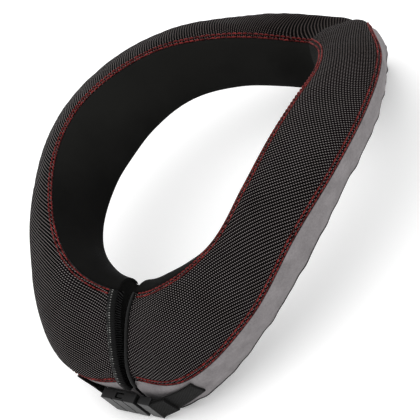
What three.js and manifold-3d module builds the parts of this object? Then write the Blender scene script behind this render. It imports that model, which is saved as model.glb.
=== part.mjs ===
// Protective neck collar: a padded ring that arches over both shoulders and is split at the front.
// A foam core under a sewn cloth cover, trimmed edges at the split, and a webbing strap with a buckle.
// Millimetres, +Z up. The front is -Y, and the collar stands on its front and back hems at z = 0.
import * as THREE from 'three';
import { mergeVertices } from 'three/addons/utils/BufferGeometryUtils.js';
import loadManifold from 'manifold-3d';

const manifold = await loadManifold();
manifold.setup();

// Cover and foam
const CLOTH = 1.5; // thickness of every cover panel
const GAP = 0.3; // clearance between pieces that lie on each other
const SEAM_TRIM = 0.22; // a panel stops this far short of each seam line
const TOP_FULLNESS = 3; // power of the top's bow: 2 is a plain arc, more is flatter with rounder edges
const SIDE_CROWN = 1.2; // bulge of the outer wall
const HEM_FLAT = 8; // width of the flat band that the outer wall stands on

// Sections of the pad, one row for each direction round the neck, from the front (0) to the back (180).
// R is a seam's distance from the neck axis and Z its height. The neck and rim seams bound the top panel,
// the hem and the foot are the outer and inner edges of the base. The crown and the swell are how far the
// padding bows out the top and the neck wall between their seams.
const COLUMNS = [
  'angle', 'neckR', 'neckZ', 'rimR', 'rimZ', 'hemR', 'hemZ', 'footR', 'footZ', 'crown', 'swell',
];
const SECTIONS = [
  [0, 88.5, 64, 122, 27.5, 118, -2.5, 75, 53, 5, 5],
  [22, 90, 71, 129, 32, 117, 9, 72.5, 58, 6.5, 4],
  [45, 86.5, 81, 120, 48, 107, 27, 66.5, 60, 5, 2],
  [68, 80, 94.5, 111, 68, 105, 47.5, 55, 66.5, 4.5, 2],
  [90, 76.5, 100, 111.5, 77.5, 103, 58.5, 53.5, 65.5, 4.5, 2],
  [112, 78, 97, 115, 78.5, 106, 59.5, 59.5, 62.5, 4.5, 2],
  [134, 85.5, 87.5, 119.5, 71.5, 109, 51.5, 75.5, 52.5, 4.5, 2],
  [152, 89.5, 76.5, 121.5, 60.5, 115, 37.5, 82, 42.5, 5, 3],
  [167, 93, 66.5, 129, 45.5, 128.5, 25, 87, 31, 5.5, 3],
  [180, 102.5, 51.5, 140, 23, 133, -2.5, 95.5, 17.5, 5, 3],
].map((row) => Object.fromEntries(row.map((value, i) => [COLUMNS[i], value])));
const FRONT = SECTIONS[0];
const BACK_ANGLE = SECTIONS.at(-1).angle;

// Split at the front: half of its width where it leaves the neck seam and where it meets the rim
const SPLIT_AT_NECK = 6.5;
const SPLIT_AT_RIM = 3;
const SPLIT_SHIFT = 5; // the split lies this far to the right of the middle
const SPLIT_REACH = 8; // how quickly the slant of the split fades away from the front

// Binding tape on the left edge of the split and piping on the right edge
const TAPE_WIDTH = 5.5;
const TAPE_RISE = 1.6;
const TAPE_WRAP = 4; // how far the tape is folded down the end face
const TAPE_FOLD = 1.2; // thickness of that fold
const TAPE_TAIL = 3.5; // length that runs on over the rim, down the outer wall
const PIPING = 1.6; // width and height of the piping

// Strap
const STRAP_WIDTH = 15;
const STRAP_THICK = 1.4;
const STRAP_RIGHT_ANGLE = 23; // directions of the sewn ends
const STRAP_LEFT_ANGLE = 18;
const STRAP_DROP_AT_END = 1.5; // distance below the rim seam at the sewn ends
const STRAP_DROP_AT_BUCKLE = 9.5; // and where it meets the buckle

// Buckle
const BUCKLE_X = -1; // the fastened buckle sits across the split, its socket on the left
const BUCKLE_WIDTH = 16;
const BUCKLE_LIFT = 1.2; // of its middle off the outer wall
const SOCKET_LENGTH = 26;
const SOCKET_THICK = 6;
const SOCKET_WALL = 1.5;
const SOCKET_DEPTH = 20; // of the cavity, from its mouth
const SOCKET_GROOVE = 0.8; // width and depth of the two grooves across its face
const BUCKLE_OPENING = 3; // bare length of the prongs between the socket and their base
const PRONG_BASE_LENGTH = 9;
const PRONG_BASE_THICK = 5;
const PRONG_WIDTH = 2.8;
const PRONG_THICK = 2.4;
const PRONG_CLEARANCE = 0.5;
const LATCH_LENGTH = 5;
const LATCH_REACH = 15; // from the socket's mouth to the tip of a prong

// Mesh resolution
const HALF_STATIONS = 32;
const BACK_CROWDING = 1.25; // stations close up towards the tight bend at the back
const TOP_STEPS = 6;
const SIDE_STEPS = 3;
const BASE_STEPS = 2;
const NECK_STEPS = 5;
const STRAP_STATIONS = 10;
const STRAP_STEPS = 3;
const TRIM_STEPS = 5;

const CLOTH_BLACK = { color: 0x1b191a, roughness: 0.85, metalness: 0 };
const NECK_BLACK = { color: 0x161617, roughness: 0.9, metalness: 0 };
const SUEDE_GREY = { color: 0x82807f, roughness: 0.95, metalness: 0 };
const FOAM_GREY = { color: 0x3a3a3c, roughness: 1, metalness: 0 };
const TAPE_BLACK = { color: 0x202022, roughness: 0.4, metalness: 0 };
const WEBBING_BLACK = { color: 0x151515, roughness: 0.8, metalness: 0 };
const PLASTIC_BLACK = { color: 0x1e1e1f, roughness: 0.45, metalness: 0 };

// The frame's origin is the middle of the footprint, and the neck axis stands a little in front of it.
const NECK_AXIS_Y = -5.35;
const collar = new THREE.Group();
collar.position.y = NECK_AXIS_Y;

function add(name, geometry, finish) {
  geometry.computeVertexNormals();
  const mesh = new THREE.Mesh(geometry, new THREE.MeshStandardMaterial(finish));
  mesh.name = name;
  collar.add(mesh);
  return mesh;
}

// One column of the table in any direction: a smooth curve through the rows, level at front and back.
function column(name, angle) {
  const last = SECTIONS.length - 1;
  const slope = (k) => {
    if (k === 0 || k === last) return 0;
    const rise = SECTIONS[k + 1][name] - SECTIONS[k - 1][name];
    return rise / (SECTIONS[k + 1].angle - SECTIONS[k - 1].angle);
  };
  const i = Math.min(last - 1, SECTIONS.findLastIndex((row) => row.angle <= angle));
  const span = SECTIONS[i + 1].angle - SECTIONS[i].angle;
  const t = (angle - SECTIONS[i].angle) / span;
  const ease = t * t * (3 - 2 * t);
  const start = SECTIONS[i][name] * (1 - ease) + SECTIONS[i + 1][name] * ease;
  return start + span * t * (1 - t) * (slope(i) * (1 - t) - slope(i + 1) * t);
}

// Points from one corner towards the next, bowed outwards; the far corner itself is left out.
function bowed(from, to, steps, rise, fullness = 2) {
  const along = to.clone().sub(from);
  const outwards = new THREE.Vector2(-along.y, along.x).normalize();
  return Array.from({ length: steps }, (_, i) => {
    const t = i / steps;
    const bow = rise * (1 - Math.abs(2 * t - 1) ** fullness);
    return from.clone().addScaledVector(along, t).addScaledVector(outwards, bow);
  });
}

// Corners of the section in one direction, as (distance from the neck axis, height).
function corners(angle) {
  const point = (seam) => new THREE.Vector2(column(`${seam}R`, angle), column(`${seam}Z`, angle));
  const hem = point('hem');
  hem.y = Math.max(0, hem.y);
  const flat = new THREE.Vector2(hem.x - HEM_FLAT, hem.y);
  return { neck: point('neck'), rim: point('rim'), hem, flat, foot: point('foot') };
}

// Outline of the pad: over the top, down the outer wall, under the base and up the neck wall.
function outline(angle) {
  const { neck, rim, hem, flat, foot } = corners(angle);
  return [
    ...bowed(neck, rim, TOP_STEPS, column('crown', angle), TOP_FULLNESS),
    ...bowed(rim, hem, SIDE_STEPS, SIDE_CROWN),
    hem,
    ...bowed(flat, foot, BASE_STEPS, 0),
    ...bowed(foot, neck, NECK_STEPS, column('swell', angle)),
  ];
}

// First and last point of each face in that outline; the neck wall closes on the first point.
const SIDE_FROM = TOP_STEPS;
const BASE_FROM = SIDE_FROM + SIDE_STEPS;
const NECK_FROM = BASE_FROM + 1 + BASE_STEPS;
const OUTLINE_POINTS = NECK_FROM + NECK_STEPS;

function outwardNormal(from, to) {
  return new THREE.Vector2(from.y - to.y, to.x - from.x).normalize();
}

// The same outline moved inwards by an even depth, with mitred corners.
function inset(points, depth) {
  return points.map((point, i) => {
    const before = outwardNormal(points.at(i - 1), point);
    const after = outwardNormal(point, points[(i + 1) % points.length]);
    const mitre = before.clone().add(after).divideScalar(1 + before.dot(after));
    return point.clone().addScaledVector(mitre, -depth);
  });
}

// Half of the split's width at one distance from the neck axis.
function halfSplit(radius) {
  const outwards = (radius - FRONT.neckR) / (FRONT.rimR - FRONT.neckR);
  return THREE.MathUtils.lerp(SPLIT_AT_NECK, SPLIT_AT_RIM, outwards);
}

// Direction of the split's end face at one distance from the neck axis, or of a plane set back from it.
function endSwing(side, radius, setback) {
  return Math.asin((halfSplit(radius) + side * SPLIT_SHIFT + setback) / radius);
}

function turned(side, swing, point) {
  return new THREE.Vector3(side * point.x * Math.sin(swing), -point.x * Math.cos(swing), point.y);
}

// A section point in space. Near the front it is swung aside to stand on its own side of the split.
function place(side, angle, point, setback) {
  const fade = (1 - angle / BACK_ANGLE) ** SPLIT_REACH;
  return turned(side, THREE.MathUtils.degToRad(angle) + endSwing(side, point.x, setback) * fade, point);
}

// Solid through rings of points that all have the outline of one flat polygon, closed at both ends.
// Each face between two rings is split along its shorter diagonal.
function loft(rings, polygon) {
  const count = polygon.length;
  const points = rings.flat();
  const index = [];
  for (let i = 0; i + 1 < rings.length; i += 1) {
    for (let j = 0; j < count; j += 1) {
      const [a, b] = [i * count + j, i * count + ((j + 1) % count)];
      const [c, d] = [a + count, b + count];
      const shorter = points[a].distanceTo(points[d]) < points[b].distanceTo(points[c]);
      index.push(...(shorter ? [a, b, d, a, d, c] : [a, b, c, b, d, c]));
    }
  }
  const turn = Math.sign(THREE.ShapeUtils.area(polygon));
  const far = (rings.length - 1) * count;
  for (const face of THREE.ShapeUtils.triangulateShape(polygon, [])) {
    const alike = Math.sign(THREE.ShapeUtils.area(face.map((i) => polygon[i]))) === turn;
    const [a, b, c] = alike ? face : face.toReversed();
    index.push(c, b, a, far + a, far + b, far + c);
  }
  let volume = 0;
  for (let i = 0; i < index.length; i += 3) {
    const [a, b, c] = [0, 1, 2].map((k) => points[index[i + k]]);
    volume += a.dot(b.clone().cross(c));
  }
  const geometry = new THREE.BufferGeometry().setFromPoints(points);
  geometry.setIndex(volume < 0 ? index.toReversed() : index);
  return geometry;
}

// Stations round the ring, from the right end of the split over the back to the left end.
const RIGHT = 1;
const LEFT = -1;
const halfAngles = Array.from({ length: HALF_STATIONS }, (_, i) => {
  return BACK_ANGLE * (1 - (1 - i / HALF_STATIONS) ** BACK_CROWDING);
});
const STATIONS = [
  ...halfAngles.map((angle) => ({ side: RIGHT, angle })),
  { side: RIGHT, angle: BACK_ANGLE },
  ...halfAngles.toReversed().map((angle) => ({ side: LEFT, angle })),
];

// Solid swept round the whole ring from the section that a function gives for each direction.
// Its two ends stand back from the faces of the split.
function ringSolid(sectionAt, setback) {
  const rings = STATIONS.map(({ side, angle }) => {
    const back = angle === 0 ? setback : 0;
    return sectionAt(angle).map((point) => place(side, angle, point, back));
  });
  return loft(rings, sectionAt(0));
}

// A run of outline points, trimmed at both ends to stay clear of the panels beyond the seams.
function trimmedRun(points, from, to) {
  const run = points.concat(points[0]).slice(from, to + 1);
  const shorten = (end, next) => end.clone().addScaledVector(next.clone().sub(end).normalize(), SEAM_TRIM);
  return [shorten(run[0], run[1]), ...run.slice(1, -1), shorten(run.at(-1), run.at(-2))];
}

// Cloth panel over one face of the pad.
function panel(from, to) {
  return ringSolid((angle) => {
    const outer = outline(angle);
    const inner = inset(outer, CLOTH);
    return [...trimmedRun(outer, from, to), ...trimmedRun(inner, from, to).toReversed()];
  }, 0);
}

add('top_panel', panel(0, SIDE_FROM), CLOTH_BLACK);
add('side_panel', panel(SIDE_FROM, BASE_FROM), SUEDE_GREY);
add('base_panel', panel(BASE_FROM, NECK_FROM), NECK_BLACK);
add('neck_panel', panel(NECK_FROM, OUTLINE_POINTS), NECK_BLACK);

// Foam core, and the cloth that covers its two ends inside the split
const coreSection = (angle) => inset(outline(angle), CLOTH + GAP);
add('foam_core', ringSolid(coreSection, CLOTH + GAP), FOAM_GREY);

function endPanel(side) {
  const section = coreSection(0);
  const faces = [0, CLOTH].map((setback) => section.map((point) => place(side, 0, point, setback)));
  return loft(faces, section);
}

add('end_panel_right', endPanel(RIGHT), NECK_BLACK);
add('end_panel_left', endPanel(LEFT), NECK_BLACK);

// A point on the outer wall, a distance down from the rim seam and lifted off the cloth.
function wallPoint(angle, drop, lift) {
  const { rim, hem } = corners(angle);
  const t = drop / rim.distanceTo(hem);
  const outwards = outwardNormal(rim, hem);
  return rim.clone().lerp(hem, t).addScaledVector(outwards, 4 * SIDE_CROWN * t * (1 - t) + lift);
}

// Trim along one edge of the split, on the top panel from the neck seam to the rim and a little beyond.
// Its profile is drawn as (distance into the limb from the end face, height over the cover).
function edgeTrim(side, profile) {
  const runOf = (angle) => [...outline(angle).slice(0, SIDE_FROM + 1), wallPoint(angle, TAPE_TAIL, 0)];
  const rings = runOf(0).map((start, i) => profile.map(({ x: inwards, y: height }) => {
    const swing = endSwing(side, start.x, inwards);
    const run = runOf(THREE.MathUtils.radToDeg(Math.abs(swing - endSwing(side, start.x, 0))));
    const before = outwardNormal(run[Math.max(i - 1, 0)], run[Math.max(i, 1)]);
    const after = outwardNormal(run[Math.min(i, run.length - 2)], run[Math.min(i + 1, run.length - 1)]);
    const mitre = before.clone().add(after).divideScalar(1 + before.dot(after));
    const point = run[i].clone().addScaledVector(mitre, height);
    return turned(side, swing, point);
  }));
  return loft(rings, profile);
}

// Half-round profile across the edge trim, resting on the cover.
function halfRound(from, to, rise) {
  return Array.from({ length: TRIM_STEPS + 1 }, (_, i) => {
    const turn = (Math.PI * i) / TRIM_STEPS;
    const across = (from + to) / 2 + ((from - to) / 2) * Math.cos(turn);
    return new THREE.Vector2(across, GAP + rise * Math.sin(turn));
  });
}

const tapeEdge = -GAP - TAPE_FOLD;
const tapeProfile = [
  ...halfRound(TAPE_WIDTH, tapeEdge, TAPE_RISE),
  new THREE.Vector2(tapeEdge, -TAPE_WRAP),
  new THREE.Vector2(-GAP, -TAPE_WRAP),
  new THREE.Vector2(-GAP, GAP),
];
add('edge_binding_left', edgeTrim(LEFT, tapeProfile), TAPE_BLACK);
add('edge_piping_right', edgeTrim(RIGHT, halfRound(PIPING, 0, PIPING)), TAPE_BLACK);

// Buckle seat: its back lies on the outer wall, its length along the wall and its width down it.
const buckleDrop = STRAP_DROP_AT_BUCKLE + STRAP_WIDTH / 2;
const buckleSwing = Math.asin(BUCKLE_X / wallPoint(0, buckleDrop, 0).x);
const atBuckle = (drop, lift) => turned(RIGHT, buckleSwing, wallPoint(0, drop, lift));
const buckleSeat = atBuckle(buckleDrop, BUCKLE_LIFT + SOCKET_THICK / 2);
const strapTop = atBuckle(STRAP_DROP_AT_BUCKLE, 0);
const strapBottom = atBuckle(STRAP_DROP_AT_BUCKLE + STRAP_WIDTH, 0);
const lengthways = new THREE.Vector3(Math.cos(buckleSwing), Math.sin(buckleSwing), 0);
const widthways = strapTop.clone().sub(strapBottom).normalize();
const outOfWall = lengthways.clone().cross(widthways);
const buckleLength = SOCKET_LENGTH + BUCKLE_OPENING + PRONG_BASE_LENGTH;

function addToBuckle(name, solid) {
  const { vertProperties, triVerts } = solid.getMesh();
  const geometry = new THREE.BufferGeometry();
  geometry.setAttribute('position', new THREE.BufferAttribute(new Float32Array(vertProperties), 3));
  geometry.setIndex(Array.from(triVerts));
  const mesh = add(name, geometry, PLASTIC_BLACK);
  mesh.setRotationFromMatrix(new THREE.Matrix4().makeBasis(lengthways, widthways, outOfWall));
  mesh.position.copy(buckleSeat);
}

// Block between two corners, in the buckle's own axes: length, width, outwards.
function block(from, to) {
  const size = to.map((value, i) => value - from[i]);
  const box = new THREE.BoxGeometry(...size);
  box.translate(...from.map((value, i) => value + size[i] / 2));
  box.deleteAttribute('normal');
  box.deleteAttribute('uv');
  const { attributes, index } = mergeVertices(box);
  return new manifold.Manifold(new manifold.Mesh({
    numProp: 3,
    vertProperties: new Float32Array(attributes.position.array),
    triVerts: new Uint32Array(index.array),
  }));
}

const socketFrom = -buckleLength / 2;
const socketTo = socketFrom + SOCKET_LENGTH;
const halfWidth = BUCKLE_WIDTH / 2;
const socketFace = SOCKET_THICK / 2;
const cavityFrom = socketTo - SOCKET_DEPTH;
const cavityHalfWidth = halfWidth - SOCKET_WALL - PRONG_CLEARANCE;
const cavityHalfThick = PRONG_THICK / 2 + PRONG_CLEARANCE;
const latchFrom = socketTo - LATCH_REACH;
const latchTo = latchFrom + LATCH_LENGTH;

let socket = block([socketFrom, -halfWidth, -socketFace], [socketTo, halfWidth, socketFace]);
socket = socket.subtract(block(
  [cavityFrom, -cavityHalfWidth, -cavityHalfThick],
  [socketTo + 1, cavityHalfWidth, cavityHalfThick],
));
socket = socket.subtract(block(
  [latchFrom - PRONG_CLEARANCE, -halfWidth - 1, -cavityHalfThick],
  [latchTo + PRONG_CLEARANCE, halfWidth + 1, cavityHalfThick],
));
for (const third of [1, 2]) {
  const at = socketFrom + (SOCKET_LENGTH * third) / 3;
  socket = socket.subtract(block(
    [at - SOCKET_GROOVE / 2, -halfWidth - 1, socketFace - SOCKET_GROOVE],
    [at + SOCKET_GROOVE / 2, halfWidth + 1, socketFace + 1],
  ));
}
addToBuckle('buckle_socket', socket);

const baseFrom = socketTo + BUCKLE_OPENING;
const baseTo = baseFrom + PRONG_BASE_LENGTH;
const prongFace = PRONG_THICK / 2;
let prongs = block(
  [baseFrom, -halfWidth, -PRONG_BASE_THICK / 2],
  [baseTo, halfWidth, PRONG_BASE_THICK / 2],
);
for (const edge of [-1, 1]) {
  const span = [cavityHalfWidth - PRONG_CLEARANCE - PRONG_WIDTH, cavityHalfWidth - PRONG_CLEARANCE];
  const head = [span[0], halfWidth - PRONG_CLEARANCE];
  const [armFrom, armTo] = span.map((value) => value * edge).sort((a, b) => a - b);
  const [headFrom, headTo] = head.map((value) => value * edge).sort((a, b) => a - b);
  prongs = prongs.add(block([latchFrom, armFrom, -prongFace], [baseFrom + 1, armTo, prongFace]));
  prongs = prongs.add(block([latchFrom, headFrom, -prongFace], [latchTo, headTo, prongFace]));
}
addToBuckle('buckle_prongs', prongs);

// Webbing from a sewn end on the outer wall to one end of the buckle, which holds it off the wall.
// It is cut square where it meets the buckle.
function strap(side) {
  const buckleEnd = side * (buckleLength / 2 + GAP);
  const end = buckleSeat.clone().addScaledVector(lengthways, buckleEnd);
  const endRadius = Math.hypot(end.x, end.y);
  const endSwung = Math.atan2(side * end.x, -end.y) - endSwing(side, endRadius, 0);
  const endAngle = THREE.MathUtils.radToDeg(endSwung);
  const liftAtBuckle = endRadius - wallPoint(endAngle, buckleDrop, 0).x - STRAP_THICK / 2;
  const sewnAngle = side === RIGHT ? STRAP_RIGHT_ANGLE : STRAP_LEFT_ANGLE;
  const across = Array.from({ length: STRAP_STEPS + 1 }, (_, i) => (STRAP_WIDTH * i) / STRAP_STEPS);
  const rings = Array.from({ length: STRAP_STATIONS }, (_, i) => {
    const t = i / (STRAP_STATIONS - 1);
    const angle = THREE.MathUtils.lerp(sewnAngle, endAngle, t);
    const drop = THREE.MathUtils.lerp(STRAP_DROP_AT_END, STRAP_DROP_AT_BUCKLE, t);
    const lift = THREE.MathUtils.lerp(GAP, liftAtBuckle, t ** 2);
    const pointAt = (width, height) => place(side, angle, wallPoint(angle, drop + width, height), 0);
    const inner = across.map((width) => pointAt(width, lift));
    const outer = across.map((width) => pointAt(width, lift + STRAP_THICK));
    return [...inner, ...outer.toReversed()];
  });
  for (const point of rings.at(-1)) {
    const short = buckleEnd - point.clone().sub(buckleSeat).dot(lengthways);
    point.addScaledVector(lengthways, short);
  }
  const profile = [
    ...across.map((width) => new THREE.Vector2(width, 0)),
    ...across.toReversed().map((width) => new THREE.Vector2(width, STRAP_THICK)),
  ];
  return loft(rings, profile);
}

add('strap_right', strap(RIGHT), WEBBING_BLACK);
add('strap_left', strap(LEFT), WEBBING_BLACK);

export default collar;
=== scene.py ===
import math

import bpy
import numpy as np
from mathutils import Matrix, Vector


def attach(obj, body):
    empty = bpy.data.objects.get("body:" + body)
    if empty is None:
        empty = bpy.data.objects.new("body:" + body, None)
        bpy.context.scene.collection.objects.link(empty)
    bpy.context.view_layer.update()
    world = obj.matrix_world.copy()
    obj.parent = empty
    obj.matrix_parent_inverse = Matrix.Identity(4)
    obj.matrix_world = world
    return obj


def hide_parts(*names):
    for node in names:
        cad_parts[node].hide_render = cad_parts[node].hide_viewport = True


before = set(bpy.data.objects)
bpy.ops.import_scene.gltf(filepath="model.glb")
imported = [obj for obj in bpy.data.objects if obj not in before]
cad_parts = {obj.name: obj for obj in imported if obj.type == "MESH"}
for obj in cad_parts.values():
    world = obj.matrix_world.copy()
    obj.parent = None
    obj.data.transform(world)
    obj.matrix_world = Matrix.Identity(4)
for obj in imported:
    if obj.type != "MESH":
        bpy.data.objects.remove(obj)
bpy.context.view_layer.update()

# Foam core
# One block of soft foam, moulded to arch over both shoulders and slit at the front. The cover hides it,
# but its sections place every other piece: they are cut by planes through the upright axis of the neck.
MM = 0.001
NECK_AXIS_Y = -5.35 * MM  # the neck axis stands a little in front of the middle of the footprint
CLOTH = 1.5 * MM
GAP = 0.3 * MM
HEM_FLAT = 8 * MM  # width of the flat band that the outer wall stands on
HEM_BEND = 3 * MM  # softness of the bend beside it
WALL_CROWN = 1.2 * MM
SLIT_AT_NECK = 6.5 * MM  # half of the slit's width
SLIT_AT_RIM = 3 * MM
SLIT_SHIFT = 5 * MM  # the slit lies this far to the right of the middle
SLIT_REACH = 8  # how quickly the slant of the slit fades away from the front

# One row for each direction, from the front (0 degrees) to the back (180), and the rest in millimetres:
# distance from the neck axis and height of each seam, then the bow of the top and of the neck wall.
COLUMNS = (
    "angle", "neck_r", "neck_z", "rim_r", "rim_z", "hem_r", "hem_z", "foot_r", "foot_z", "crown", "swell",
)
SECTIONS = np.array([
    (0, 88.5, 64, 122, 27.5, 118, -2.5, 75, 53, 5, 5),
    (22, 90, 71, 129, 32, 117, 9, 72.5, 58, 6.5, 4),
    (45, 86.5, 81, 120, 48, 107, 27, 66.5, 60, 5, 2),
    (68, 80, 94.5, 111, 68, 105, 47.5, 55, 66.5, 4.5, 2),
    (90, 76.5, 100, 111.5, 77.5, 103, 58.5, 53.5, 65.5, 4.5, 2),
    (112, 78, 97, 115, 78.5, 106, 59.5, 59.5, 62.5, 4.5, 2),
    (134, 85.5, 87.5, 119.5, 71.5, 109, 51.5, 75.5, 52.5, 4.5, 2),
    (152, 89.5, 76.5, 121.5, 60.5, 115, 37.5, 82, 42.5, 5, 3),
    (167, 93, 66.5, 129, 45.5, 128.5, 25, 87, 31, 5.5, 3),
    (180, 102.5, 51.5, 140, 23, 133, -2.5, 95.5, 17.5, 5, 3),
])
SEAMS = ("neck", "rim", "hem", "foot")
TOP, WALL, BASE, NECK = range(4)  # a face runs from the seam of its own number to the next one
HALF_TURN = 180


def column(name, angle):
    """One column of the table in any direction: a cubic through the rows, level at front and back."""
    knot = SECTIONS[:, 0]
    value = SECTIONS[:, COLUMNS.index(name)] * MM
    slope = np.zeros(len(knot))
    slope[1:-1] = (value[2:] - value[:-2]) / (knot[2:] - knot[:-2])
    row = np.clip(np.searchsorted(knot, angle, side="right") - 1, 0, len(knot) - 2)
    span = knot[row + 1] - knot[row]
    t = (angle - knot[row]) / span
    ease = t * t * (3 - 2 * t)
    between = value[row] * (1 - ease) + value[row + 1] * ease
    return between + span * t * (1 - t) * (slope[row] * (1 - t) - slope[row + 1] * t)


def unit(vector):
    """Vectors of length one in the same directions."""
    return vector / np.linalg.norm(vector, axis=-1, keepdims=True)


def seam(number, angle):
    """A seam in one direction, as (distance from the neck axis, height), never under the floor."""
    name = SEAMS[number % len(SEAMS)]
    height = np.maximum(column(name + "_z", angle), 0)
    return np.stack((column(name + "_r", angle), height), axis=-1)


def outward(start, end):
    """Outward direction of the section line from start to end: its own direction, a quarter turn left."""
    along = end - start
    return unit(np.stack((-along[..., 1], along[..., 0]), axis=-1))


def face_width(face, angle):
    """Distance between the two seams of a face."""
    return np.linalg.norm(seam(face + 1, angle) - seam(face, angle), axis=-1)


def base_line(angle, across):
    """Section of the base: level for the width of the hem flat, then straight up to the foot seam.
    The share on the level part is the smaller of the run and that width, rounded by a hyperbola."""
    hem = seam(BASE, angle)
    flat = hem - np.array([HEM_FLAT, 0])
    slope = seam(NECK, angle) - flat
    rise = np.linalg.norm(slope, axis=-1)
    run = across * (HEM_FLAT + rise)
    level = (run + HEM_FLAT - np.hypot(run - HEM_FLAT, HEM_BEND)) / 2
    level = level + (1 - across) * (np.hypot(HEM_FLAT, HEM_BEND) - HEM_FLAT) / 2
    climb = (run - level)[..., None] * slope / rise[..., None]
    return hem + level[..., None] * np.array([-1.0, 0.0]) + climb


def face_line(face, angle, across, fullness=2.0):
    """Section of a face: the straight line between its seams, bowed outwards by the padding.
    The bow is its rise times one less |2 across - 1| to the power of fullness."""
    angle, across = np.broadcast_arrays(angle, across)
    if face == BASE:
        return base_line(angle, across)
    start, end = seam(face, angle), seam(face + 1, angle)
    rise = {TOP: column("crown", angle), WALL: WALL_CROWN, NECK: column("swell", angle)}[face]
    bow = rise * (1 - np.abs(2 * across - 1) ** fullness)
    return start + across[..., None] * (end - start) + bow[..., None] * outward(start, end)


def end_swing(side, radius, setback=0.0):
    """Direction from the front of one end face of the slit, or of a plane set back from it.
    Its sine is the half width of the slit, which changes evenly with the radius, and the shift, over it."""
    neck_radius, rim_radius = seam(TOP, 0)[0], seam(WALL, 0)[0]
    slant = (SLIT_AT_RIM - SLIT_AT_NECK) / (rim_radius - neck_radius)
    half_slit = SLIT_AT_NECK + slant * (radius - neck_radius)
    return np.arcsin((half_slit + side * SLIT_SHIFT + setback) / radius)


def place(turn, point, setback=0.0):
    """A section point in space. turn is measured from the back, to the right, in degrees.
    Towards the front the point swings aside to stand on its own side of the slit."""
    radius, height = point[..., 0], point[..., 1]
    side = np.sign(turn)
    share = np.abs(turn) / HALF_TURN
    swing = np.pi * (1 - share) + end_swing(side, radius, setback) * share ** SLIT_REACH
    x = side * radius * np.sin(swing)
    y = NECK_AXIS_Y - radius * np.cos(swing)
    return np.stack(np.broadcast_arrays(x, y, height), axis=-1)


def even_turns(count):
    """Turns from the left end of the slit over the back to the right end, evenly spaced on the top."""
    turn = np.linspace(-HALF_TURN, HALF_TURN, 4001)
    middle = place(turn, face_line(TOP, HALF_TURN - np.abs(turn), 0.5))
    length = np.append(0, np.cumsum(np.linalg.norm(np.diff(middle, axis=0), axis=1)))
    return np.interp(np.linspace(0, length[-1], count), length, turn)


def inset(loop, depth):
    """Closed section loops moved inwards by an even depth, with mitred corners."""
    before = outward(np.roll(loop, 1, axis=-2), loop)
    after = outward(loop, np.roll(loop, -1, axis=-2))
    mitre = (before + after) / (1 + (before * after).sum(axis=-1, keepdims=True))
    return loop - depth * mitre


def section_loop(angle, steps):
    """Whole section outline, each face in even steps: over the top, down the wall, along the base, up."""
    across = np.arange(steps) / steps
    return np.concatenate([face_line(face, angle[:, None], across[None]) for face in range(4)], axis=1)


def tube_faces(rings, around):
    """Four-cornered faces between successive rings of points, and one face over each end."""
    i, j = np.meshgrid(np.arange(rings - 1), np.arange(around), indexing="ij")
    k = (j + 1) % around
    sides = np.stack((i, i + 1, i + 1, i), axis=-1) * around + np.stack((j, j, k, k), axis=-1)
    first = np.arange(around)
    last = (rings - 1) * around + first[::-1]
    return sides.reshape(-1, 4).tolist() + [first.tolist(), last.tolist()]


def make_piece(name, points, faces, finish, uv=None, sharp=50):
    """Mesh object at the origin, smooth but for edges sharper than an angle, with a UV pair a point."""
    mesh = bpy.data.meshes.new(name)
    mesh.from_pydata(points.reshape(-1, 3), [], faces)
    if uv is not None:
        corner = np.empty(len(mesh.loops), dtype=np.int32)
        mesh.loops.foreach_get("vertex_index", corner)
        layer = mesh.uv_layers.new(name="cloth")
        layer.data.foreach_set("uv", uv.reshape(-1, 2)[corner].ravel())
    mesh.polygons.foreach_set("use_smooth", np.ones(len(mesh.polygons), dtype=bool))
    mesh.set_sharp_from_angle(angle=math.radians(sharp))
    mesh.materials.append(finish)
    piece = bpy.data.objects.new(name, mesh)
    bpy.context.scene.collection.objects.link(piece)
    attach(piece, "root")
    return piece


def make_tube(name, rings, finish, uv=None):
    """Piece from successive rings of points, closed at both ends."""
    return make_piece(name, rings, tube_faces(*rings.shape[:2]), finish, uv)


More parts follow.
